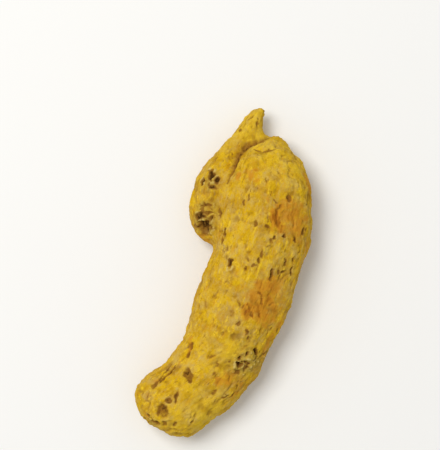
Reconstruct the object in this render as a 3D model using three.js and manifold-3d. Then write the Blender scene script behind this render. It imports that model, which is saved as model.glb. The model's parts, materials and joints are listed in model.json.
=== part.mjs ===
// A dried turmeric rhizome, in millimetres, +Z up, lying on its side on the plane Z = 0.
//
// It grew as one piece: a bent main finger, thickest towards its blunt upper end, with a short
// side lobe fused to its left flank. The lobe tapers to a tip that stands a little past the
// finger's own end. Faint rings mark where the leaf scales sat, long shallow ridges show how it
// shrank as it dried, and the underside is worn flat where the root rests.
//
// The origin is the middle of the bounding box, at its bottom. The finger's two ends lie
// along Y, and the lobe is on the -X side.

import * as THREE from "three";
import { mergeVertices } from "three/addons/utils/BufferGeometryUtils.js";
import Module from "manifold-3d";

const { clamp, degToRad, radToDeg, smoothstep } = THREE.MathUtils;

// Main finger
const FINGER_LENGTH = 78; // along its bent spine
const FINGER_HEIGHT = 19.4; // the thickest part, from the underside to the top
const LOWER_END = 8; // how far the rounding of the lower end reaches
const UPPER_END = 20; // the same for the upper end
const LOWER_BEND = 30; // degrees that the spine turns in its lower half
const UPPER_BEND = 24; // degrees that it turns on towards the upper end
const LOWER_BEND_SPAN = [0.1, 0.4]; // where it turns, as shares of the spine
const UPPER_BEND_SPAN = [0.38, 0.88];

// Side lobe
const LOBE_LENGTH = 35.5;
const LOBE_HEIGHT = 12.6; // its thickest part
const LOBE_BUTT = 8; // rounding of the thick end, where it broke from another finger
const LOBE_TIP = 4; // rounding of the thin end
const LOBE_START = 0.62; // where the thick end sits, as a share of the finger's spine
const LOBE_OFFSET = 0.8; // from the finger's flank out to the start of the lobe's spine
const LOBE_SPLAY = 8; // degrees between the two spines where the lobe starts
const LOBE_CURL = 36; // degrees that the lobe turns back, up to its tip
const LOBE_RISE = 7; // height of the lobe's spine above the plane it rests on

// Surface
const RING_PITCH = 8.5; // between two leaf-scale rings
const RING_DEPTH = 0.28;
const RING_REACH = 1.3; // half the width of a ring's groove
const RIDGES = 7; // long ridges around a finger
const RIDGE_HEIGHT = 0.22;
const RIDGE_TWIST = 80; // degrees that the ridges wind from end to end
const WORN_FLAT = 0.6; // depth of the flat on the underside

// Width along each piece: [share of its length from the lower end, millimetres across]. The
// rounding of the ends comes on top.
const FINGER_WIDTHS = [
  [0, 20.5],
  [0.18, 18.2],
  [0.4, 21.4],
  [0.58, 22.6],
  [0.75, 23.4],
  [0.87, 23],
  [1, 19],
];
const LOBE_WIDTHS = [
  [0, 9],
  [0.22, 11.6],
  [0.38, 13],
  [0.52, 11],
  [0.66, 9],
  [0.82, 7],
  [1, 5],
];

// Facets
const SPINE_STEPS = 40;
const WIDTH_SAMPLES = 200;
const FINGER_RINGS = 58;
const FINGER_SIDES = 36;
const LOBE_RINGS = 30;
const LOBE_SIDES = 26;

const wasm = await Module();
wasm.setup();

// A smooth function through a list of [share, width].
function smoothWidth(stations) {
  const points = stations.map(([share, width]) => new THREE.Vector2(share, width));
  const samples = new THREE.SplineCurve(points).getPoints(WIDTH_SAMPLES);
  return (share) => {
    const after = Math.max(1, samples.findIndex((p) => p.x >= share));
    const [a, b] = [samples[after - 1], samples[after]];
    return a.y + ((b.y - a.y) * (share - a.x)) / (b.x - a.x);
  };
}

function widestOf(stations) {
  return Math.max(...stations.map(([, width]) => width));
}

// 0 at a tip, rising as a quarter of an ellipse to 1 at the given reach from it.
function roundedEnd(fromTip, reach) {
  const short = Math.max(0, 1 - fromTip / reach);
  return Math.sqrt(1 - short * short);
}

// A spine is walked in short steps from (x, y). heading(share) is its direction in degrees,
// clockwise from +Y as seen from above, and rise(share) its height above the plane.
function spineCurve({ x, y, length, heading, rise }) {
  const at = new THREE.Vector3(x, y, rise(0));
  const points = [at.clone()];
  for (let i = 0; i < SPINE_STEPS; i++) {
    const direction = degToRad(heading((i + 0.5) / SPINE_STEPS));
    at.x += (Math.sin(direction) * length) / SPINE_STEPS;
    at.y += (Math.cos(direction) * length) / SPINE_STEPS;
    at.z = rise((i + 1) / SPINE_STEPS);
    points.push(at.clone());
  }
  return new THREE.CatmullRomCurve3(points);
}

// The level direction square to a spine, to the right of someone who walks along it.
function rightOf(spine, share) {
  const along = spine.getTangentAt(share);
  return new THREE.Vector3(along.y, -along.x, 0).normalize();
}

// How far the surface stands out from the plain girth, at a place along a piece and around it.
function relief(length, along, around) {
  const toRing = Math.abs(((along / RING_PITCH) % 1) - 0.5) * RING_PITCH;
  const groove = RING_DEPTH * Math.exp(-((toRing / RING_REACH) ** 2));
  const wound = (degToRad(RIDGE_TWIST) * along) / length;
  const ridge = RIDGE_HEIGHT * Math.cos(RIDGES * around + wound * RIDGES);
  return ridge - groove;
}

// A finger starts as a straight turned blank along +Y. Its vertices are then given their
// relief, pressed to the stated height, and carried onto the spine.
function fingerGeometry({ spine, length, height, widthAt, widest, startEnd, tipEnd, rings, sides }) {
  const profile = [];
  for (let i = 0; i <= rings; i++) {
    const share = 0.5 - 0.5 * Math.cos((Math.PI * i) / rings); // closer rings near the ends
    const along = share * length;
    const round = roundedEnd(along, startEnd) * roundedEnd(length - along, tipEnd);
    const onAxis = i === 0 || i === rings;
    profile.push(new THREE.Vector2(onAxis ? 0 : (widthAt(share) * round) / 2, along));
  }
  const blank = new THREE.LatheGeometry(profile, sides);
  const place = blank.getAttribute("position");
  const point = new THREE.Vector3();
  for (let i = 0; i < place.count; i++) {
    point.fromBufferAttribute(place, i);
    const radius = Math.hypot(point.x, point.z);
    const share = clamp(point.y / length, 0, 1);
    const full = radius / (widest / 2); // fades the relief out towards the poles
    const raised = full * relief(length, point.y, Math.atan2(point.x, point.z));
    const grown = radius > 0 ? 1 + raised / radius : 1;
    const centre = spine.getPointAt(share);
    centre.addScaledVector(rightOf(spine, share), point.x * grown);
    centre.z += (point.z * grown * height) / widest;
    place.setXYZ(i, centre.x, centre.y, centre.z);
  }
  return blank;
}

// A closed three.js geometry as a manifold solid, and back.
function toSolid(geometry) {
  const bare = geometry.clone();
  bare.deleteAttribute("normal");
  bare.deleteAttribute("uv");
  const merged = mergeVertices(bare, 1e-3);
  const vertProperties = merged.getAttribute("position").array;
  const triVerts = new Uint32Array(merged.index.array);
  return new wasm.Manifold(new wasm.Mesh({ numProp: 3, vertProperties, triVerts }));
}

function toGeometry(solid) {
  const { vertProperties, triVerts } = solid.getMesh();
  const geometry = new THREE.BufferGeometry();
  geometry.setAttribute("position", new THREE.BufferAttribute(vertProperties, 3));
  geometry.setIndex(new THREE.BufferAttribute(triVerts, 1));
  geometry.computeVertexNormals();
  return geometry;
}

// The main finger. Its spine starts at the lower end and stays half a thickness above the
// plane, so that the root rests along most of its length.
const fingerWidth = smoothWidth(FINGER_WIDTHS);
const fingerWidest = widestOf(FINGER_WIDTHS);
const fingerSpine = spineCurve({
  x: 0,
  y: 0,
  length: FINGER_LENGTH,
  heading: (share) =>
    LOWER_BEND * (1 - smoothstep(share, ...LOWER_BEND_SPAN)) -
    UPPER_BEND * smoothstep(share, ...UPPER_BEND_SPAN),
  rise: (share) => (fingerWidth(share) * FINGER_HEIGHT) / fingerWidest / 2,
});

function mainFinger() {
  return fingerGeometry({
    spine: fingerSpine,
    length: FINGER_LENGTH,
    height: FINGER_HEIGHT,
    widthAt: fingerWidth,
    widest: fingerWidest,
    startEnd: LOWER_END,
    tipEnd: UPPER_END,
    rings: FINGER_RINGS,
    sides: FINGER_SIDES,
  });
}

// The side lobe starts beside the finger's flank, wherever that lies, and is wide enough to
// stay fused to it.
function sideLobe() {
  const start = fingerSpine.getPointAt(LOBE_START);
  start.addScaledVector(rightOf(fingerSpine, LOBE_START), -LOBE_OFFSET - fingerWidth(LOBE_START) / 2);
  const along = fingerSpine.getTangentAt(LOBE_START);
  const fingerHeading = radToDeg(Math.atan2(along.x, along.y));
  const spine = spineCurve({
    x: start.x,
    y: start.y,
    length: LOBE_LENGTH,
    heading: (share) => fingerHeading - LOBE_SPLAY + LOBE_CURL * share,
    rise: () => LOBE_RISE,
  });
  return fingerGeometry({
    spine,
    length: LOBE_LENGTH,
    height: LOBE_HEIGHT,
    widthAt: smoothWidth(LOBE_WIDTHS),
    widest: widestOf(LOBE_WIDTHS),
    startEnd: LOBE_BUTT,
    tipEnd: LOBE_TIP,
    rings: LOBE_RINGS,
    sides: LOBE_SIDES,
  });
}

// Everything below the worn flat, as a block wide enough for any size of root.
function belowTheFlat() {
  const reach = 4 * (FINGER_LENGTH + LOBE_LENGTH);
  return new THREE.BoxGeometry(reach, reach, reach).translate(0, 0, WORN_FLAT - reach / 2);
}

function rhizomeGeometry() {
  const grown = toSolid(mainFinger()).add(toSolid(sideLobe()));
  const worn = toGeometry(grown.subtract(toSolid(belowTheFlat())));
  worn.computeBoundingBox();
  const { min, max } = worn.boundingBox;
  return worn.translate(-(min.x + max.x) / 2, -(min.y + max.y) / 2, -min.z);
}

const drySkin = new THREE.MeshStandardMaterial({ color: 0xc9982a, roughness: 0.9, metalness: 0 });

const rhizome = new THREE.Mesh(rhizomeGeometry(), drySkin);
rhizome.name = "turmeric_rhizome";

const root = new THREE.Group();
root.add(rhizome);

export default root;
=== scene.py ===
# %% [markdown]
# # A dried turmeric root
#
# A turmeric root is a rhizome: an underground stem that grows in blunt fingers. Boiled and dried
# in the sun, it shrinks by about three quarters. The skin then hangs on a body that is smaller
# than it used to be, so it puckers into fine lengthwise wrinkles, and rubbing the roots against
# each other coats them in their own yellow powder.
#
# The shape is held by a plain solid from a CAD program, in millimetres, lying on the plane Z = 0.
# This script gives that solid its real skin. Everything is worked out in millimetres in numpy
# arrays, and is turned to metres only when it becomes a Blender mesh.

import json
import math

import bpy
import numpy as np
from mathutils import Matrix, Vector, noise

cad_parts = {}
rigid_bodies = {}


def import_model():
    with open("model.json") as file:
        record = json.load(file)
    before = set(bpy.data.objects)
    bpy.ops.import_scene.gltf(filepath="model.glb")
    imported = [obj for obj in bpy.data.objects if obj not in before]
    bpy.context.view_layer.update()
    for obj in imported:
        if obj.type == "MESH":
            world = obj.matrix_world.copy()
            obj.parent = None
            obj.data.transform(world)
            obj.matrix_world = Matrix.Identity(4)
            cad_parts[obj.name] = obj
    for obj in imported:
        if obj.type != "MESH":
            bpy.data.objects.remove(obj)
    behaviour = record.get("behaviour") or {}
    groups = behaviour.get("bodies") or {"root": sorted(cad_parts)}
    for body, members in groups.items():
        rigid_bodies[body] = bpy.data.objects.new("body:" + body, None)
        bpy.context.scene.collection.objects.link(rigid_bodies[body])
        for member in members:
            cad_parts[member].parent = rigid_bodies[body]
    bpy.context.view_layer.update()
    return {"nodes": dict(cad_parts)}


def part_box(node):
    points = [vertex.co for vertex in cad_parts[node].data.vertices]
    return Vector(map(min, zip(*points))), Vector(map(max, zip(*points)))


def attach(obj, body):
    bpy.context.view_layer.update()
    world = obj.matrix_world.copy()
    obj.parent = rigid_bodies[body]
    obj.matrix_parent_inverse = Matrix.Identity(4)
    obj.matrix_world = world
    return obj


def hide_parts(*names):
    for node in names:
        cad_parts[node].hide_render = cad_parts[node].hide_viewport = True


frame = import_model()
MM = 0.001
low, high = (np.array(corner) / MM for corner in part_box("turmeric_rhizome"))
print("the plain solid measures", np.round(high - low, 1), "mm")

# %% [markdown]
# ## An even net of points
#
# The solid has long thin facets, and two bodies meet in it with a knife-sharp crease. Sculpted
# detail needs points that lie evenly, so the solid is melted and cast again as a voxel mesh. A
# subdivision surface would keep the uneven facets, and a multiresolution sculpt can't be written
# down as a script. Casting twice is the trick here: a coarse net is quick to smooth over long
# distances, and a fine one then carries the wrinkles.

# %% Cast a mesh again from voxels
def recast(mesh, cell):
    """The same solid as an even mesh of squares, each about `cell` millimetres wide."""
    holder = bpy.data.objects.new("casting", mesh)
    bpy.context.scene.collection.objects.link(holder)
    voxels = holder.modifiers.new("voxels", "REMESH")
    voxels.mode = "VOXEL"
    voxels.voxel_size = cell * MM
    evaluated = holder.evaluated_get(bpy.context.evaluated_depsgraph_get())
    made = bpy.data.meshes.new_from_object(evaluated)
    bpy.data.objects.remove(holder)
    return made


def points_of(mesh):
    """The mesh's points, in millimetres."""
    flat = np.empty(3 * len(mesh.vertices), np.float32)
    mesh.vertices.foreach_get("co", flat)
    return flat.reshape(-1, 3).astype(float) / MM


def set_points(mesh, points):
    mesh.vertices.foreach_set("co", (points * MM).astype(np.float32).ravel())
    mesh.update()


def normals_of(mesh):
    flat = np.empty(3 * len(mesh.vertices), np.float32)
    mesh.vertex_normals.foreach_get("vector", flat)
    return flat.reshape(-1, 3).astype(float)


def relaxed(mesh, points, rounds, amount=0.5):
    """Points moved towards the mean of their neighbours, by an `amount` that may vary over them."""
    ends = np.empty(2 * len(mesh.edges), np.int32)
    mesh.edges.foreach_get("vertices", ends)
    a, b = ends.reshape(-1, 2).T
    size = len(points)
    neighbours = np.bincount(a, minlength=size) + np.bincount(b, minlength=size)
    share = np.broadcast_to(np.asarray(amount, float), (size,))[:, None]
    for _ in range(rounds):
        sums = []
        for k in range(3):
            sums.append(np.bincount(a, points[b, k], size) + np.bincount(b, points[a, k], size))
        points = points + share * (np.stack(sums, 1) / neighbours[:, None] - points)
    return points


def bell(distance, reach):
    """1 at no distance, falling smoothly towards 0 past `reach`."""
    return np.exp(-((distance / reach) ** 2))


# %% Cast the coarse body and melt the crease at the lobe's foot
COARSE_CELL = 0.7
COARSE_ROUNDS = 3
LOBE_FOOT = np.array([-8.5, 12.5, 11.0])  # where the lobe grows out of the finger
FOOT_REACH = 6.0
FOOT_ROUNDS = 30
FOOT_MELT = 0.6  # how far each round moves a point there, as a share of the way
coarse = recast(frame["nodes"]["turmeric_rhizome"].data, COARSE_CELL)
body = relaxed(coarse, points_of(coarse), COARSE_ROUNDS)
at_foot = bell(np.linalg.norm(body - LOBE_FOOT, axis=1), FOOT_REACH)
body = relaxed(coarse, body, FOOT_ROUNDS, FOOT_MELT * at_foot)
set_points(coarse, body)
print("coarse body:", len(body), "points")

# %% Cast the fine body
FINE_CELL = 0.27
FINE_ROUNDS = 3
root_mesh = recast(coarse, FINE_CELL)
body = relaxed(root_mesh, points_of(root_mesh), FINE_ROUNDS)
set_points(root_mesh, body)
print("fine body:", len(body), "points,", 2 * len(root_mesh.polygons), "triangles")

# %% [markdown]
# ## Directions on a finger
#
# Wrinkles run along a finger and leaf-scale rings run around it, so each point has to know how
# far along its finger it is and how far to the side. One line is drawn down the middle of the
# finger and one down the lobe, and each point asks the nearer line. The lobe is thinner, so each
# distance counts in radii of its own finger.

# %% Draw the two middle lines and find each point's place on them
# x and y of each line's places, from the lower end to the upper
FINGER_LINE = [(-3.5, -39), (2, -29), (5.5, -18), (5.5, -3), (4, 10), (0.5, 22), (-4, 36)]
LOBE_LINE = [(-8, 4), (-10.5, 14), (-11, 24), (-9.5, 40)]
FINGER_RADIUS = 11  # millimetres, as is all that follows
LOBE_RADIUS = 6


def rounded_line(points, rounds=4):
    """A line with its corners cut off again and again until it is smooth."""
    line = np.array(points, float)
    for _ in range(rounds):
        near = 0.75 * line[:-1] + 0.25 * line[1:]
        far = 0.25 * line[:-1] + 0.75 * line[1:]
        middle = np.stack([near, far], 1).reshape(-1, 2)
        line = np.concatenate([line[:1], middle, line[-1:]])
    return line


def place_on(line, open_ends=True):
    """For each point: distance to the line, millimetres along it, and millimetres to its right.

    A line with open ends goes on straight past them.
    """
    last = len(line) - 2
    steps = np.linalg.norm(np.diff(line, axis=0), axis=1)
    run = np.concatenate([[0], np.cumsum(steps)])
    best = np.full(len(body), np.inf)
    along, across = np.zeros(len(body)), np.zeros(len(body))
    for i in range(len(line) - 1):
        heading = (line[i + 1] - line[i]) / steps[i]
        offset = body[:, :2] - line[i]
        forward = offset @ heading
        side = offset @ np.array([heading[1], -heading[0]])
        if i > 0 or not open_ends:
            forward = np.maximum(forward, 0)
        if i < last or not open_ends:
            forward = np.minimum(forward, steps[i])
        gap = np.linalg.norm(offset - forward[:, None] * heading, axis=1)
        nearer = gap < best
        best[nearer] = gap[nearer]
        along[nearer] = (run[i] + forward)[nearer]
        across[nearer] = side[nearer]
    return best, along, across


finger_line = rounded_line(FINGER_LINE)
lobe_line = rounded_line(LOBE_LINE)
finger_gap, finger_along, finger_across = place_on(finger_line)
_, lobe_along, lobe_across = place_on(lobe_line)
lobe_gap, _, _ = place_on(lobe_line, open_ends=False)  # the lobe doesn't go on past its foot
on_lobe = lobe_gap / LOBE_RADIUS < finger_gap / FINGER_RADIUS
along = np.where(on_lobe, lobe_along, finger_along)
across = np.where(on_lobe, lobe_across, finger_across)
print("the finger is", round(np.ptp(finger_along[~on_lobe])), "mm long")
print(round(100 * on_lobe.mean()), "% of the points are on the lobe")

# %% [markdown]
# ## Noise that follows the flesh
#
# Plain noise looks the same in all directions, which reads as stone. Skin that has shrunk on a
# finger is stretched along it, so the noise is looked up in the finger's own coordinates: slow
# along, quick across. Blender's own noise function is used, because it can be read at any point
# and gives the same answer on each run.

# %% Helpers that read noise at every point
SEED_STEP = np.array([17.3, 5.1, 9.7])  # each seed reads another part of the noise


def read_noise(places, size, seed):
    """Noise between -1 and 1, with lumps about `size` millimetres wide."""
    shifted = places / size + SEED_STEP * seed
    return np.array([noise.noise(Vector(p)) for p in shifted])


STRETCH = 3.2  # how much longer than wide the wrinkles are
flesh = np.stack([along / STRETCH, across, body[:, 2]], 1)

# %% [markdown]
# ## Lumps and hollows
#
# A real finger is never a smooth sausage. It swells where buds were fed and sinks where the pith
# shrank. The largest forms are laid down first, as a sculptor would: a broad bulge or hollow is
# a bell-shaped push along the surface's normal. Noise alone could do it too, but the few forms
# that give this root its character are listed one by one.

# %% Push the broad forms
# x, y and z in millimetres from the frame's origin, reach of the form, height (down if negative)
BROAD_FORMS = [
    (3, 24, 18, 7, 0.5),
    (7.5, 18.5, 18, 3.8, -0.8),
    (-1, 17, 18, 4, -0.35),
    (9, 27, 14, 4, 0.4),
    (1, 5, 18, 7, 0.4),
    (9.5, -1.5, 17, 4.5, -0.6),
    (0, -9, 16, 6, 0.4),
    (12, -13.5, 14, 3.8, 0.7),
    (9.5, -20.5, 15, 3.5, -0.35),
    (2.5, -21, 15, 5, 0.5),
    (-1.5, -30.5, 14, 3.5, -0.5),
    (5, -33, 14, 4, 0.45),
    (-1, -34, 14, 3, 0.3),
    # the flanks, which give the outline its slow bends
    (-7.5, -27, 8, 3.5, -1.1),
    (-8.5, -35, 7, 4, 0.7),
    (5, -40, 7, 4, -0.8),
    (14.5, -26, 7, 6, 0.7),
    (-14.5, 29, 7, 5, -0.9),
    (-6, 36, 7, 2.5, -1.0),
    (-9, 5, 7, 3, -0.8),
    (16.5, -10, 8, 8, -1.0),
    (16.5, 5, 8, 6, -0.7),
    (13.5, 23, 8, 5, -0.8),
    (-6, 39, 7, 2, -0.8),
    (-5, -5, 8, 6, 0.3),
    (8, 29.5, 8, 3.5, -1.0),
    (2.5, 34, 8, 2.5, -0.6),
    (15.5, 11, 8, 3, -0.6),
    (16.5, -1, 8, 3, 0.6),
    (15.5, -19, 8, 3, 0.4),
    (1, -40, 7, 4, -0.8),
    (-15.5, 22, 7, 3, -0.7),
    (-12.5, 32, 7, 3, -0.9),
    (-11.5, 36, 7, 2.5, -0.6),
    # the underside, above the flat
    (10, 12, 2, 5, -0.7),
    (12, -22, 3, 5, -0.6),
    (-9, 24, 2, 4, 0.5),
]


def nearest(x, y, z):
    """The point of the skin that is nearest to a place."""
    return int(np.argmin(np.linalg.norm(body - (x, y, z), axis=1)))


normal = normals_of(root_mesh)
# each layer of noise is a height in millimetres, times the noise of a size and a seed
push = 0.5 * read_noise(body, 8.0, 1) + 0.32 * read_noise(flesh, 4.0, 2)
for x, y, z, reach, height in BROAD_FORMS:
    centre = body[nearest(x, y, z)]
    push += height * bell(np.linalg.norm(body - centre, axis=1), reach)
body = body + normal * push[:, None]
set_points(root_mesh, body)
print("broad forms push from", round(push.min(), 2), "to", round(push.max(), 2), "mm")
normal = normals_of(root_mesh)

# %% [markdown]
# ## Marks on the skin
#
# A mark is a fold, a pit, a slit where the skin cracked, a patch that was rubbed bare of powder,
# or the crusty scar of a root that broke off. Each of them could be painted by hand in a texture,
# but a list of ovals is easier to read and to change. No real mark is a clean oval, so every
# point is first led astray by slow and quick noise, and the ovals are measured from where it
# strayed to. That gives each mark a torn edge of its own. The marks also leave numbers on the
# points, which the material reads later. Among them is painted shade: along the folds, and in
# orange bands along the right flank.

# %% Lead each point astray
def noise_vectors(size, seed):
    """Three readings of the noise at every point, as a direction to stray in."""
    return np.stack([read_noise(body, size, seed + axis) for axis in range(3)], 1)


slow = 0.5 * noise_vectors(1.7, 31)
quick = 0.33 * noise_vectors(0.75, 41)
stray = body + slow + quick
print("points stray by up to", round(np.linalg.norm(stray - body, axis=1).max(), 2), "mm")

# %% Measure how far each point is from an oval on the surface
UPPER_SIDE = 6  # millimetres above the plane, below which no point counts as the top
TOP_REACH = 0.3  # millimetres farther off than the nearest point that a higher one may be


def top_point(x, y):
    """The point on the upper side of the root above (x, y)."""
    gap = np.hypot(body[:, 0] - x, body[:, 1] - y)
    gap[body[:, 2] <= UPPER_SIDE] = np.inf
    near = np.flatnonzero(gap < gap.min() + TOP_REACH)
    return near[np.argmax(body[near, 2])]


def oval(anchor, length, width, lean, ragged=0.45):
    """Nearby points, and how far each lies out: 0 at the mark's middle and 1 at its edge.

    `lean` is in degrees clockwise from +Y, and `ragged` is how deep its edge is bitten.
    """
    out = normal[anchor]
    heading = np.array([math.sin(math.radians(lean)), math.cos(math.radians(lean)), 0.0])
    lengthwise = heading - out * (heading @ out)
    lengthwise /= np.linalg.norm(lengthwise)
    sideways = np.cross(out, lengthwise)
    longest = max(length, width)
    reach = 0.9 * longest + 0.8  # takes in the soft edge, and the points that strayed
    bite = 0.25 * (length + width) + 0.3  # size of the bites out of the edge
    near = np.flatnonzero(np.abs(body - body[anchor]).max(axis=1) < reach)
    offset = stray[near] - stray[anchor]
    gap = np.hypot(offset @ lengthwise / (length / 2), offset @ sideways / (width / 2))
    gap = np.hypot(gap, offset @ out / longest)
    gap *= 1 + ragged * read_noise(body[near], bite, 3)
    return near, gap


def inside(gap, softness=0.35):
    """1 well inside an oval, 0 outside, with a soft step at the edge."""
    t = np.clip((1 + softness - gap) / (2 * softness), 0, 1)
    return t * t * (3 - 2 * t)


def at_least(marks, near, values):
    """Raise the marks on nearby points to the given values, and never lower them."""
    marks[near] = np.maximum(marks[near], values)


carve = np.zeros(len(body))  # millimetres, outwards
dark = np.zeros(len(body))  # 1 where a pit or slit shows its dark floor, and painted shade along the folds
pale = np.zeros(len(body))  # 1 where dry pith shows
bare_and_flank_shade = np.zeros(len(body))  # 1 where the orange skin has no powder on it, more where it is brown; along the right flank it carries painted shade
crust = np.zeros(len(body))  # 1 on a scar's crust

# %% Folds, with painted shade in them: where the lobe leaves the finger, and a shallow one across the blunt end
# places along the fold, half its width, its depth (a ridge if negative), how much painted shade lies in it
FOLDS = [
    ([(-4, 36), (-6, 33.4), (-8.6, 31.4), (-9.6, 28.5), (-10, 25), (-9.8, 21), (-9, 18)], 1.2, 0.95, 0.45),
    ([(-5.6, 33.4), (-8.6, 31.2), (-9.6, 28), (-10, 25), (-9.8, 21), (-9.4, 19)], 0.5, 0.5, 0.85),
    ([(-7, 30), (-4.2, 30.5), (-1.9, 32.2), (0, 34.5)], 0.5, 0.4, 0.45),
    ([(1, 35), (5, 32.6), (7.8, 30.2), (10.5, 26.5), (12, 23)], 0.6, -0.4, 0.0),
    ([(2, 35.5), (6, 33.2), (9, 30.2), (11.6, 26.5)], 0.7, 0.4, 0.25),
]
END_FADE = 5.0  # millimetres over which a fold runs out
WAVER = 0.35  # how much deeper and shallower a fold gets along its way, as a share
FOLD_FOOT = 8.0  # millimetres above the plane, where a fold is half as deep
upper_side = inside(2 - body[:, 2] / FOLD_FOOT, 0.3)
for places, half_width, depth, shade in FOLDS:
    line = rounded_line(places)
    gap, run, _ = place_on(line, open_ends=False)
    waver = 1 + WAVER * read_noise(stray, 1.3, 21)
    start = np.clip(run + 0.5, 0, 1)
    end = np.clip((run.max() - run) / END_FADE, 0, 1)
    fade = end * start * upper_side
    carve -= depth * bell(gap, half_width) * waver * fade
    # painted shade along the bottom of the fold, kept with the pits' dark floors
    shadow = shade * bell(gap, 0.45 * half_width) * np.clip(waver, 0, 1) * fade
    dark = np.maximum(dark, shadow)
print("folds go down to", round(-carve.min(), 2), "mm")

# %% Bare orange patches, and bands of painted shade in the same orange along the right flank
# x, y, length, width, lean, and how bare it is, or for the flank bands how strong the painted shade is:
# above 1 the deeper brown skin shows
BARE_AND_FLANK_SHADE_PATCHES = [
    (7.6, 18.9, 7.6, 8.2, -10, 0.9),
    (4.4, 17.6, 5.8, 2.4, -30, 1.3),
    (5.8, 17.0, 4.0, 0.9, -10, 1.35),
    (6.6, 15.9, 1.8, 2.2, -24, 1.1),
    (10.6, 19.6, 5.5, 3.4, -24, 0.75),
    (9.9, -1.6, 10.5, 8.0, 0, 1.0),
    (7.6, -3.0, 8.0, 3.2, 1, 1.15),
    (7.0, 1.6, 3.0, 2.8, 50, 1.15),
    (8.6, -0.3, 2.8, 0.8, -61, 1.4),
    (9.6, -1.8, 2.6, 0.7, -24, 1.35),
    (7.2, -3.7, 2.0, 0.7, -34, 1.35),
    (8.4, -5.2, 2.6, 0.9, -34, 1.4),
    (7.1, -5.1, 2.0, 0.7, -24, 1.3),
    (10.2, -4.2, 2.4, 0.7, -30, 1.3),
    (9.4, -21.8, 3.6, 6.0, -24, 0.7),
    (7.9, -22.2, 2.0, 2.2, -24, 1.0),
    (-7.9, 22.4, 2.6, 1.3, -10, 0.9),
    (-5.1, 24.4, 3.2, 3.4, -24, 0.6),
    (-4.6, 25.6, 1.4, 1.2, -24, 1.0),
    (-1.7, -18.7, 4.0, 1.6, -19, 0.9),
    (0.0, 21.0, 2.4, 3.0, -24, 0.35),
    (-9.0, 5.5, 4.0, 3.0, 0, 0.7),
    # the next four rows are long bands along the right flank: painted shade, where the flank turns away
    # from the lamp
    (14.5, 12.0, 9.0, 2.2, 5, 0.6),
    (15.3, -8.0, 14.0, 2.0, 0, 0.7),
    (13.0, -23.0, 6.0, 2.0, 25, 0.6),
    (10.0, 29.0, 8.0, 2.0, -35, 0.8),
    (-5.8, -28.8, 3.0, 1.6, -9, 0.6),
    (-4.5, -37.0, 4.0, 2.0, -60, 0.6),
]
PATCH_SOFTNESS = 0.6


def rub_bare_and_flank_shade(anchor, length, width, lean, strength, ragged=0.6):
    near, gap = oval(anchor, length, width, lean, ragged)
    at_least(bare_and_flank_shade, near, strength * inside(gap, PATCH_SOFTNESS))


for x, y, length, width, lean, strength in BARE_AND_FLANK_SHADE_PATCHES:
    rub_bare_and_flank_shade(top_point(x, y), length, width, lean, strength)
print("bare patches cover", round(100 * bare_and_flank_shade.mean(), 1), "% of the points")

# %% Broad areas under thick, fresh powder
# x, y, reach, how thick the powder lies
POWDERED = [
    (-9, 34, 6, 1.0),
    (-3, 31, 5, 0.6),
    (5, 31, 6, 0.7),
    (8, -31, 6, 1.0),
    (4, -37, 6, 0.8),
    (8, -16, 5, 0.7),
]
fresh = np.zeros(len(body))  # 1 where the powder lies thick
for x, y, reach, strength in POWDERED:
    gap = np.hypot(body[:, 0] - x, body[:, 1] - y)
    fresh = np.maximum(fresh, strength * bell(gap, reach))
print("fresh powder covers", round(100 * fresh.mean(), 1), "% of the points")

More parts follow.
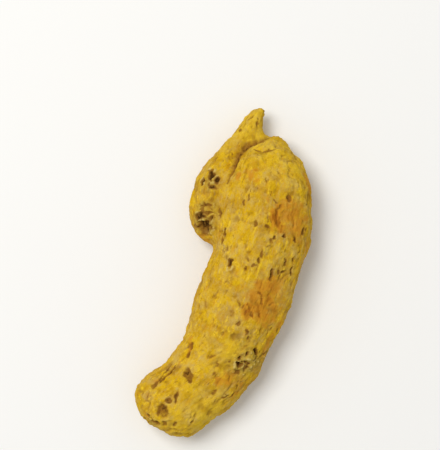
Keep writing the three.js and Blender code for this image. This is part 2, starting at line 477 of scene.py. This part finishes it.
# %% Pits and slits that stand out
# x, y, length, width, lean, depth, how dark the floor is
PITS = [
    (-5.1, 9.2, 1.7, 0.7, -20, 0.7, 1.0),
    (-5.0, 7.6, 1.5, 0.6, -30, 0.6, 0.9),
    (-1.4, 3.2, 2.3, 1.0, -9, 0.8, 1.1),
    (0.5, 13.9, 1.5, 0.7, -14, 0.4, 0.6),
    (3.8, 14.8, 0.8, 0.7, 0, 0.4, 0.8),
    (5.4, 23.3, 1.6, 1.3, -24, 0.45, 0.7),
    (-3.6, 19.2, 1.8, 0.6, -10, 0.25, 0.5),
    (-4.3, 17.3, 1.2, 0.5, -24, 0.3, 0.8),
    (5.7, 12.2, 1.4, 0.9, -14, 0.35, 0.4),
    (6.2, 13.4, 0.8, 0.7, 0, 0.5, 1.0),
    (8.2, 14.5, 0.8, 0.7, 0, 0.5, 0.9),
    (10.8, 14.9, 1.0, 0.7, -24, 0.5, 1.0),
    (12.0, 17.5, 1.3, 0.7, -24, 0.4, 0.8),
    (5.0, 8.2, 1.5, 0.5, -32, 0.4, 0.7),
    (4.6, 6.8, 1.5, 0.55, -16, 0.45, 0.85),
    (4.0, 5.2, 1.2, 0.5, 56, 0.3, 0.7),
    (2.3, 3.8, 1.0, 0.6, -24, 0.4, 0.9),
    (8.8, 6.0, 1.2, 0.6, -34, 0.5, 0.9),
    (9.2, 4.8, 1.6, 0.7, -24, 0.6, 1.0),
    (10.3, 6.6, 1.0, 0.5, -24, 0.45, 0.9),
    (10.9, 8.9, 1.9, 0.5, -19, 0.4, 0.8),
    (11.1, 6.8, 0.8, 0.5, 20, 0.4, 0.9),
    (12.3, 10.2, 1.5, 0.5, -24, 0.4, 0.7),
    (12.9, 7.7, 1.7, 0.6, -14, 0.5, 1.0),
    (12.9, 12.7, 1.0, 0.7, -24, 0.25, 0.4),
    (8.6, -0.3, 2.2, 0.5, -61, 0.3, 0.35),
    (9.6, -1.8, 2.2, 0.45, -24, 0.3, 0.35),
    (7.3, -3.6, 1.8, 0.45, -34, 0.3, 0.35),
    (8.4, -5.2, 2.2, 0.5, -34, 0.35, 0.5),
    (7.1, -5.2, 1.6, 0.45, -24, 0.25, 0.3),
    (10.2, -4.2, 2.2, 0.45, -30, 0.25, 0.3),
    (4.4, 18.6, 2.2, 0.5, -24, 0.3, 0.35),
    (5.4, 16.6, 1.8, 0.5, -40, 0.3, 0.35),
    (6.5, -8.5, 1.2, 0.5, 6, 0.3, 0.6),
    (3.6, -7.0, 1.4, 1.2, 0, 0.25, 0.35),
    (-1.8, -17.6, 1.4, 0.6, -10, 0.35, 0.7),
    (-1.6, -19.8, 1.8, 0.7, -24, 0.4, 0.6),
    (0.3, -24.1, 2.9, 1.7, -32, 0.6, 0.55),
    (-0.3, -24.0, 1.5, 0.9, -55, 0.4, 0.95),
    (1.0, -25.1, 1.2, 0.8, -24, 0.35, 0.8),
    (-3.6, -24.6, 3.2, 0.5, 2, 0.45, 0.95),
    (-4.5, -25.2, 2.6, 0.4, 0, 0.4, 0.8),
    (-4.4, -27.1, 3.0, 0.5, 4, 0.45, 0.8),
    (-5.2, -27.6, 2.4, 0.45, -2, 0.4, 0.7),
    (-5.9, -29.4, 2.4, 0.9, -6, 0.5, 0.65),
    (-0.1, -29.6, 2.7, 0.8, -14, 0.6, 0.85),
    (-1.1, -31.1, 0.8, 1.2, -24, 0.4, 0.8),
    (-1.7, -34.2, 3.3, 2.9, -24, 0.75, 0.4),
    (-2.1, -33.3, 1.3, 1.6, -24, 0.4, 0.8),
    (-2.5, -35.0, 2.0, 0.7, -32, 0.35, 0.75),
    (-0.8, -34.2, 2.0, 0.7, -10, 0.35, 0.75),
    (-4.1, -38.4, 2.0, 2.2, -4, 0.7, 0.9),
    (-1.7, -37.8, 1.6, 2.2, -24, 0.6, 0.8),
    (-4.0, -36.9, 0.8, 0.7, 0, 0.4, 0.9),
    (0.4, -37.0, 1.1, 0.6, -24, 0.4, 0.7),
    (2.4, -36.4, 1.3, 0.5, -24, 0.4, 0.8),
    (6.1, -34.0, 1.1, 0.9, -24, 0.35, 0.5),
    (12.2, -24.3, 1.5, 0.5, 31, 0.4, 0.9),
    (11.3, -25.2, 1.3, 0.5, 31, 0.35, 0.8),
    (8.0, -25.7, 1.3, 0.45, 21, 0.3, 0.6),
    (9.6, -9.5, 1.5, 0.5, -4, 0.4, 0.9),
    (10.1, -10.6, 1.3, 0.5, -24, 0.4, 0.8),
    (-13.9, 20.6, 2.6, 1.3, -24, 0.8, 1.2),
    (-15.0, 18.1, 1.5, 1.0, -24, 0.6, 1.2),
    (-12.1, 19.8, 1.5, 0.9, 0, 0.7, 1.3),
    (-12.4, 17.8, 0.8, 1.5, -24, 0.45, 1.0),
    (-9.6, 20.2, 1.2, 0.7, -24, 0.3, 0.6),
    (-8.0, 36.2, 1.8, 0.6, -24, 0.35, 0.7),
    (-10.7, 36.8, 1.6, 0.5, 40, 0.3, 0.6),
    (-11.8, 33.2, 0.9, 0.6, 0, 0.35, 0.8),
    (-3.9, 31.4, 1.2, 0.8, 0, 0.3, 0.5),
    (-7.9, 12.8, 2.2, 0.7, -39, 0.5, 0.8),
    (-11.6, 13.6, 2.6, 0.6, 46, 0.45, 0.7),
    (-10.8, 12.0, 2.4, 0.6, 50, 0.45, 0.8),
    (-9.4, 11.0, 1.4, 0.7, 20, 0.4, 0.8),
    (-10.2, 8.2, 3.8, 3.2, -24, 0.4, 0.6),
    (-10.6, 8.6, 2.6, 3.0, -24, 0.9, 1.0),
    (-12.4, 9.8, 1.8, 1.2, 30, 0.8, 1.1),
    (-9.2, 9.4, 2.2, 0.6, -60, 0.5, 1.0),
]
BIG_PIT = 1.1  # a pit wider than this has an uneven floor
PIT_EDGE = 0.28  # millimetres over which the wall of a pit falls, about one cell of the mesh
SHARPEST, SOFTEST = 0.4, 0.85  # limits of that fall, as shares of the pit's own radius
RIM_PLACE = 1.45  # where a pit's rim stands, in radii of the pit
RIM_WIDTH = 0.35
RIM_HEIGHT = 0.22  # as a share of the pit's depth


def sink_pit(anchor, length, width, lean, depth, shade=1.0):
    near, gap = oval(anchor, length, width, lean)
    narrow = min(length, width)
    floor = inside(gap, min(SOFTEST, max(SHARPEST, 2 * PIT_EDGE / narrow)))
    rim = bell(gap - RIM_PLACE, RIM_WIDTH)
    carve[near] += RIM_HEIGHT * depth * rim - depth * floor
    lighter = 0.0
    if narrow > BIG_PIT:
        crumbs = read_noise(stray[near], 0.7, 24)
        carve[near] += 0.5 * depth * floor * crumbs
        lighter = np.clip(0.6 * crumbs, 0, 0.3)
    at_least(dark, near, shade * floor * (1 - lighter))
    flaked = np.clip(0.1 + 1.6 * read_noise(body[near], 1.2, 22), 0, 1)
    at_least(pale, near, 1.3 * shade * depth * rim * flaked)


for x, y, length, width, lean, depth, shade in PITS:
    sink_pit(top_point(x, y), length, width, lean, depth, shade)
print(len(PITS), "pits and slits placed by hand")

# %% Many small slits, scattered along the flesh
chance = np.random.default_rng(7)
SMALL_SLITS = 460  # tried; the ones on a blunt end or in a smooth area are left out
BLUNT_END = 0.8  # where the surface faces along the root by more than this
SMOOTH_AREA = -0.15  # where the slow noise is lower than this


def heading_at(y):
    """The finger's own direction at a distance up the frame, in degrees clockwise from +Y."""
    slope = np.gradient(finger_line[:, 0], finger_line[:, 1])
    return math.degrees(math.atan(np.interp(y, finger_line[:, 1], slope)))


gathered = read_noise(body, 6.0, 23)
made = 0
for anchor in chance.choice(len(body), SMALL_SLITS, replace=False):
    length = chance.uniform(0.6, 1.8)
    width = chance.uniform(0.3, 0.55)
    lean = heading_at(body[anchor, 1]) + chance.normal(0, 25)
    depth = chance.uniform(0.08, 0.3)
    shade = chance.uniform(0.1, 0.65) ** 1.6
    if abs(normal[anchor, 1]) < BLUNT_END and gathered[anchor] > SMOOTH_AREA:
        sink_pit(anchor, length, width, lean, depth, shade)
        made += 1
print(made, "small slits")

# %% Crusty scars where thin roots broke off
# x, y, length, width, lean, how thick the crust is
SCARS = [
    (11.9, -15.6, 8.5, 6.6, 10, 0.68),
    (-13.4, 19.2, 4.5, 3.4, 20, 0.5),
    (-11.0, 9.6, 6.5, 5.0, -10, 0.7),
    (-10.5, 13.5, 4.0, 5.0, 0, 0.35),
    (-2.8, -38.0, 3.4, 6.2, -10, 0.45),
    (11.5, 8.0, 4.5, 4.5, 0, 0.25),
]


def grow_crust(anchor, length, width, lean, thickness):
    """Crumbs that stand up from the skin, with pale tops and dark gaps between them."""
    near, gap = oval(anchor, length, width, lean, 0.6)
    cover = inside(gap, 0.5)
    crumbs = read_noise(stray[near], 1.0, 8) + 0.6 * read_noise(stray[near], 0.55, 9)
    carve[near] += cover * thickness * crumbs
    at_least(crust, near, cover * min(1.0, 1.5 * thickness))
    at_least(dark, near, cover * np.clip(-3.0 * thickness * crumbs - 0.35, 0, 1))
    at_least(pale, near, cover * np.clip(2.2 * thickness * crumbs - 0.2, 0, 0.8))


for x, y, length, width, lean, thickness in SCARS:
    grow_crust(top_point(x, y), length, width, lean, thickness)
print(len(SCARS), "crusty scars")

# %% Holes in the largest scar
# x, y, length, width, lean, depth
SCAR_HOLES = [
    (13.2, -12.9, 2.2, 0.9, -65, 0.9),
    (13.7, -14.2, 1.2, 0.7, 0, 0.7),
    (10.7, -17.4, 2.0, 1.0, -50, 0.9),
    (10.0, -16.0, 0.9, 0.7, 0, 0.6),
]
for x, y, length, width, lean, depth in SCAR_HOLES:
    sink_pit(top_point(x, y), length, width, lean, depth)

# %% The hidden side has the same kinds of marks
# x, y and z of each place on the back or a flank, length, width, lean, strength
HIDDEN_PATCHES = [
    (8, 22, 0, 10, 7, 20, 0.8),
    (-3, 6, 0, 8, 6, -20, 0.7),
    (12, -6, 1, 12, 5, 5, 0.8),
    (-2, -26, 1, 7, 5, 30, 0.7),
    (-12, 26, 1, 9, 4, 0, 0.7),
    (-5.5, -6, 6, 14, 4, 0, 0.6),
    (16.5, 14, 5, 10, 4, 0, 0.6),
]
# the same, with how thick the crust is
HIDDEN_SCARS = [
    (3, -16, 0, 7, 5, 30, 0.6),
    (14, 22, 5, 5, 4, 0, 0.5),
]
# the same, with the depth and how dark the floor is
HIDDEN_PITS = [
    (2, -17, 0, 1.8, 1.1, 20, 0.8, 1.0),
    (6, 26, 2, 3.2, 2.0, 60, 0.7, 0.7),
    (-6, 0, 7, 3.0, 0.8, 5, 0.6, 0.9),
    (17, -12, 7, 3.0, 0.6, 5, 0.5, 0.8),
    (17, -14, 6, 1.4, 0.5, -5, 0.4, 0.7),
    (16.5, 3, 5, 3.4, 0.6, -8, 0.5, 0.7),
    (16, 8, 8, 1.3, 0.8, 10, 0.5, 0.8),
    (15, -25, 6, 1.9, 0.8, 30, 0.6, 0.8),
    (15.5, 16, 5, 2.2, 0.6, -10, 0.4, 0.7),
    (-15, 28, 6, 2.0, 0.7, 10, 0.5, 0.8),
]
for x, y, z, length, width, lean, strength in HIDDEN_PATCHES:
    rub_bare_and_flank_shade(nearest(x, y, z), length, width, lean, strength, ragged=0.5)
for x, y, z, length, width, lean, thickness in HIDDEN_SCARS:
    grow_crust(nearest(x, y, z), length, width, lean, thickness)
for x, y, z, length, width, lean, depth, shade in HIDDEN_PITS:
    sink_pit(nearest(x, y, z), length, width, lean, depth, shade)
print("marks carve from", round(carve.min(), 2), "to", round(carve.max(), 2), "mm")

# %% [markdown]
# ## Wrinkles and powder
#
# Three layers finish the skin. Lengthwise wrinkles come from noise in the finger's own
# coordinates: broad soft folds, and thin creases where the noise crosses zero, which is a quick
# way to draw a net of broken lines. Faint broken grooves run around it where leaf scales sat.
# Last come small lumps and the grain of the powder, which have no direction. The height that
# these layers add is kept as a number on each point: the material paints shade into the grooves
# and highlight onto the ridges, with some dust in both.

# %% Wrinkles along the flesh
CREASE_DEPTH = 0.26
CREASE_WIDTH = 0.07  # in units of the noise, not in millimetres
wrinkles = 0.17 * read_noise(flesh, 1.8, 11) + 0.1 * read_noise(flesh, 0.9, 12)
net = np.abs(read_noise(flesh + 0.5 * (stray - body), 2.1, 18))
broken = np.clip(0.4 + 1.8 * read_noise(body, 2.6, 19), 0, 1)
creases = -CREASE_DEPTH * bell(net, CREASE_WIDTH) * broken
wrinkles = (wrinkles + creases) * (1 - 0.4 * bare_and_flank_shade)
print("creases are up to", round(-creases.min(), 2), "mm deep")

# %% Faint rings where leaf scales sat
RING_PITCH = 8.5
RING_DEPTH = 0.2
RING_WIDTH = 0.6
ring_waver = 1.2 * read_noise(body, 7.0, 13)
to_ring = np.mod(along + ring_waver, RING_PITCH) - RING_PITCH / 2
ring_strength = np.clip(0.5 + 1.4 * read_noise(body, 6.0, 14), 0, 1)
rings = -RING_DEPTH * bell(to_ring, RING_WIDTH) * ring_strength
print("rings show on", round(100 * (ring_strength > 0.5).mean()), "% of the skin")

# %% Lumpy skin and powder grain
lumps = 0.2 * read_noise(body, 2.2, 15)
grain = 0.16 * read_noise(body, 1.05, 16) + 0.12 * read_noise(body, 0.6, 17)
grain *= 1 - 0.3 * bare_and_flank_shade
relief = wrinkles + rings + lumps + grain
print("wrinkles and grain:", round(relief.min(), 2), "to", round(relief.max(), 2), "mm")

# %% Move the points, and let the underside settle on the plane
body = body + normal * (relief + carve)[:, None]
CONTACT = 0.02  # millimetres above the plane for the lowest points
body[:, 2] = np.maximum(body[:, 2], low[2] + CONTACT)
set_points(root_mesh, body)
print("underside touches with", int((body[:, 2] <= low[2] + CONTACT).sum()), "points")

# %% Leave numbers on the points for the material
# the material paints shade into the low places of this height and highlight onto the high ones
height = wrinkles + rings + grain + 0.5 * lumps
left_behind = {
    "dark": dark,
    "pale": pale,
    "bare_and_flank_shade": bare_and_flank_shade,
    "crust": crust,
    "fresh": fresh,
    "relief": np.clip(0.5 + 1.5 * height, 0, 1),  # 0.5 on the plain skin
}
for name, values in left_behind.items():
    attribute = root_mesh.attributes.new(name, "FLOAT", "POINT")
    attribute.data.foreach_set("value", values.astype(np.float32))
flesh_place = root_mesh.attributes.new("flesh", "FLOAT_VECTOR", "POINT")
flesh_place.data.foreach_set("vector", flesh.astype(np.float32).ravel())

# %% [markdown]
# ## The finish: powdered skin
#
# The skin is matt all over, because dry powder scatters light every way. What makes it look real
# is that the powder isn't even. Five yellows are mixed by noise, from broad blotches to single
# grains. Then come the numbers that the marks left behind: orange where it was rubbed bare, brown
# on the floor of the pits, and dull yellow on the crust. Painted shade lies in the folds, in the
# grooves and in orange bands along the right flank, and painted highlight on the ridges. An image
# texture would need a flattened map of the surface; numbers on the points and noise in space need
# none.

# %% Small helpers for building a material
def paint(code):
    """The light that Blender mixes, for a colour as screens write it, such as "c9982a"."""
    parts = [int(code[i : i + 2], 16) / 255 for i in (0, 2, 4)]
    linear = [p / 12.92 if p <= 0.04045 else ((p + 0.055) / 1.055) ** 2.4 for p in parts]
    return (*linear, 1.0)


class Finish:
    """A material whose nodes are added one call at a time."""

    def __init__(self, name):
        self.material = bpy.data.materials.new(name)
        self.material.use_nodes = True
        self.tree = self.material.node_tree
        self.shader = self.tree.nodes["Principled BSDF"]

    def set(self, made, sockets):
        """Give a node's sockets their values, or link them to another node's output."""
        for name, value in sockets.items():
            if isinstance(value, bpy.types.NodeSocket):
                self.tree.links.new(value, made.inputs[name])
            else:
                made.inputs[name].default_value = value
        return made

    def add(self, kind, sockets, **settings):
        made = self.tree.nodes.new(kind)
        for name, value in settings.items():
            setattr(made, name, value)
        return self.set(made, sockets)

    def number(self, name):
        """A number that was left on the points."""
        return self.add("ShaderNodeAttribute", {}, attribute_name=name).outputs["Fac"]

    def noise(self, size, detail=3.0, rough=0.55, seed=0.0, along=False):
        """Noise with features `size` millimetres wide, drawn out along the flesh if asked."""
        if along:
            where = self.add("ShaderNodeAttribute", {}, attribute_name="flesh").outputs["Vector"]
            scale = 1 / size
        else:
            where = self.add("ShaderNodeTexCoord", {}).outputs["Object"]
            scale = 1 / (size * MM)
        sockets = {"Vector": where, "Scale": scale, "Detail": detail, "Roughness": rough, "W": seed}
        return self.add("ShaderNodeTexNoise", sockets, noise_dimensions="4D").outputs["Fac"]

    def ramp(self, value, low, high, to_low=0.0, to_high=1.0):
        """`to_low` where the value is `low` or less, rising smoothly to `to_high` at `high`."""
        limits = {"From Min": low, "From Max": high, "To Min": to_low, "To Max": to_high}
        sockets = {"Value": value, **limits}
        made = self.add("ShaderNodeMapRange", sockets, interpolation_type="SMOOTHSTEP")
        return made.outputs["Result"]

    def times(self, a, b):
        return self.add("ShaderNodeMath", {0: a, 1: b}, operation="MULTIPLY").outputs[0]

    def plus(self, a, b):
        return self.add("ShaderNodeMath", {0: a, 1: b}, operation="ADD").outputs[0]

    def mix(self, share, a, b):
        """Colour a, with this share of colour b in it."""
        made = self.add("ShaderNodeMix", {0: share, 6: a, 7: b}, data_type="RGBA")
        return made.outputs[2]


# %% Mix the powder's colours
skin = Finish("dry_skin")
POWDER = paint("d9ae12")
OCHRE = paint("b98a10")
OLIVE = paint("c5a862")
WARM = paint("ca8d1a")
LIGHT = paint("eac42c")
FRESH = paint("e6c232")
# the noise's size in millimetres, detail, roughness and seed, whether it is drawn out along the
# flesh, where on the noise the colour starts and where it is full, how much of it, and the colour
MOTTLING = [
    (3.6, 4, 0.6, 1.0, False, 0.4, 0.62, 0.85, OCHRE),
    (3.0, 5, 0.7, 2.0, False, 0.4, 0.72, 0.8, OLIVE),
    (1.1, 4, 0.65, 3.0, True, 0.5, 0.7, 0.6, WARM),
    (0.6, 4, 0.7, 7.0, True, 0.52, 0.66, 0.85, LIGHT),
    (0.45, 4, 0.75, 14.0, False, 0.52, 0.66, 0.9, OCHRE),
    (0.7, 4, 0.7, 15.0, True, 0.5, 0.72, 0.7, OLIVE),
]
colour = POWDER
for size, detail, rough, seed, drawn_out, starts, full, most, tint in MOTTLING:
    blotches = skin.noise(size, detail, rough, seed, along=drawn_out)
    colour = skin.mix(skin.ramp(blotches, starts, full, 0, most), colour, tint)
print(len(MOTTLING), "layers of mottling")

# %% Thick fresh powder over the broad areas
lying = skin.ramp(skin.noise(1.5, 4, 0.65, 16.0), 0.35, 0.6, 0.25, 0.7)
colour = skin.mix(skin.times(skin.number("fresh"), lying), colour, FRESH)

# %% Rub the bare patches through to the orange skin, and paint the right flank's shade in the same orange
RUBBED_AND_FLANK_SHADE = paint("c98a24")
RUBBED_DEEP_AND_FLANK_SHADE = paint("985610")
streaks = skin.ramp(skin.noise(0.9, 4, 0.65, 4.0, along=True), 0.35, 0.65, -0.3, 0.3)
deep = skin.ramp(skin.plus(skin.number("bare_and_flank_shade"), streaks), 0.85, 1.5, 0, 0.9)
orange = skin.mix(deep, RUBBED_AND_FLANK_SHADE, RUBBED_DEEP_AND_FLANK_SHADE)
torn = skin.ramp(skin.noise(1.6, 5, 0.65, 5.0), 0.3, 0.7, -0.4, 0.4)
rubbed_and_flank_shade = skin.ramp(skin.plus(skin.number("bare_and_flank_shade"), torn), 0.15, 1.05, 0, 0.95)
colour = skin.mix(rubbed_and_flank_shade, colour, orange)

# %% Crusts, painted shade in the hollows and folds, painted highlight on the ridges, and pits
CRUST = paint("b3953c")
# painted shade for the grooves, also the colour of the fine dark flecks
GROOVE_SHADE_AND_FLECK = paint("85591a")
PALE = paint("d6bc6a")
PIT_WALL_AND_FOLD_SHADE = paint("8a5c20")
PIT_FLOOR_AND_FOLD_SHADE = paint("3c2209")
crusty = skin.times(skin.number("crust"), skin.ramp(skin.noise(0.8, 4, 0.6, 6.0), 0.25, 0.55))
colour = skin.mix(crusty, colour, CRUST)
# painted shade in the low places of the relief, partly darker dust there
colour = skin.mix(skin.ramp(skin.number("relief"), 0.05, 0.45, 0.5, 0), colour, GROOVE_SHADE_AND_FLECK)
# painted highlight on the high places of the relief, partly paler dust on the ridges
colour = skin.mix(skin.ramp(skin.number("relief"), 0.55, 0.95, 0, 0.4), colour, LIGHT)
colour = skin.mix(skin.ramp(skin.number("pale"), 0.1, 0.7, 0, 0.85), colour, PALE)
uneven = skin.ramp(skin.noise(0.8, 4, 0.6, 11.0), 0.3, 0.65, 0.6, 1.2)
# the dark numbers hold the pits' brown floors and the folds' painted shade
shade = skin.times(skin.number("dark"), uneven)
colour = skin.mix(skin.ramp(shade, 0.05, 0.45, 0, 0.85), colour, PIT_WALL_AND_FOLD_SHADE)
colour = skin.mix(skin.ramp(shade, 0.5, 1.05, 0, 0.85), colour, PIT_FLOOR_AND_FOLD_SHADE)

# %% Fine dark flecks, too small to be cut into the mesh
fleck = skin.ramp(skin.noise(0.45, 2, 0.5, 12.0, along=True), 0.62, 0.72, 0, 0.8)
flecked_areas = skin.ramp(skin.noise(4.0, 2, 0.5, 13.0), 0.4, 0.6)
colour = skin.mix(skin.times(fleck, flecked_areas), colour, GROOVE_SHADE_AND_FLECK)

# %% Powder roughness and the finest grain
grains = skin.plus(skin.noise(0.3, 4, 0.65, 8.0), skin.noise(0.5, 4, 0.6, 10.0, along=True))
bump = skin.add("ShaderNodeBump", {"Height": grains, "Strength": 1.0, "Distance": 0.16 * MM})
skin.set(
    skin.shader,
    {
        "Base Color": colour,
        "Roughness": skin.ramp(skin.noise(1.2, 3, 0.5, 9.0), 0.3, 0.7, 0.8, 0.95),
        "Specular IOR Level": 0.06,
        "Normal": bump.outputs["Normal"],
    },
)
print("the finish has", len(skin.tree.nodes), "nodes")

# %% Make the root and let it stand for the plain solid
root = bpy.data.objects.new("turmeric_skin", root_mesh)
bpy.context.scene.collection.objects.link(root)
root_mesh.materials.clear()
root_mesh.materials.append(skin.material)
root_mesh.shade_smooth()
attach(root, "root")
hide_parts("turmeric_rhizome")

# %% [markdown]
# ## Floor, light and camera
#
# A pale floor, one soft lamp and a pale room are enough to judge a matt surface. The lamp stands
# high at the upper left, far enough to the side that pits and folds cast small shadows. The
# camera looks straight down through a long lens, so that the root keeps its true outline.

# %% Floor
FLOOR_SIZE = 4.0
floor_mesh = bpy.data.meshes.new("floor")
half = FLOOR_SIZE / 2
corners = [(-half, -half, 0), (half, -half, 0), (half, half, 0), (-half, half, 0)]
floor_mesh.from_pydata(corners, [], [(0, 1, 2, 3)])
floor = bpy.data.objects.new("floor", floor_mesh)
bpy.context.scene.collection.objects.link(floor)
paper = Finish("pale_floor")
matt_white = {"Base Color": paint("f4f4f2"), "Roughness": 0.9, "Specular IOR Level": 0.1}
paper.set(paper.shader, matt_white)
floor_mesh.materials.append(paper.material)

# %% Camera
LEAN = math.radians(24)  # how far the root leans to the right in the picture
PICTURE_HEIGHT = 0.108  # metres of floor from the bottom of the picture to its top
CAMERA_HEIGHT = 0.42
SENSOR = 36  # millimetres
AIM_UP = 0.0125  # metres from the middle of the root to the middle of the picture
AIM_ACROSS = -0.0018
UP_THE_PICTURE = np.array([-math.sin(LEAN), math.cos(LEAN)])
ACROSS_THE_PICTURE = np.array([math.cos(LEAN), math.sin(LEAN)])
middle = np.array((low + high)[:2]) / 2 * MM
aim = middle + AIM_UP * UP_THE_PICTURE + AIM_ACROSS * ACROSS_THE_PICTURE
camera_data = bpy.data.cameras.new("camera")
camera_data.sensor_width = SENSOR
camera_data.lens = SENSOR * CAMERA_HEIGHT / PICTURE_HEIGHT
camera = bpy.data.objects.new("camera", camera_data)
camera.location = (*aim, CAMERA_HEIGHT)
camera.rotation_euler = (0, 0, LEAN)
bpy.context.scene.collection.objects.link(camera)
bpy.context.scene.camera = camera
print("the lens is", round(camera_data.lens), "mm long")


# %% Lights
def softbox(name, side, up, height, size, power, tint):
    """A square lamp, placed by how far it is across and up the picture, aimed at the root."""
    lamp = bpy.data.lights.new(name, "AREA")
    lamp.size, lamp.energy, lamp.color = size, power, tint
    holder = bpy.data.objects.new(name, lamp)
    holder.location = (*(side * ACROSS_THE_PICTURE + up * UP_THE_PICTURE), height)
    holder.rotation_euler = (-Vector(holder.location)).to_track_quat("-Z", "Y").to_euler()
    bpy.context.scene.collection.objects.link(holder)


softbox("key", side=-0.25, up=0.2, height=0.73, size=0.35, power=3.95, tint=(1.0, 0.98, 0.95))
ROOM_LIGHT = 0.5
world = bpy.data.worlds.new("room")
world.use_nodes = True
walls = world.node_tree.nodes["Background"]
walls.inputs["Color"].default_value = (1, 1, 1, 1)
walls.inputs["Strength"].default_value = ROOM_LIGHT
bpy.context.scene.world = world
bpy.context.scene.view_settings.view_transform = "Standard"
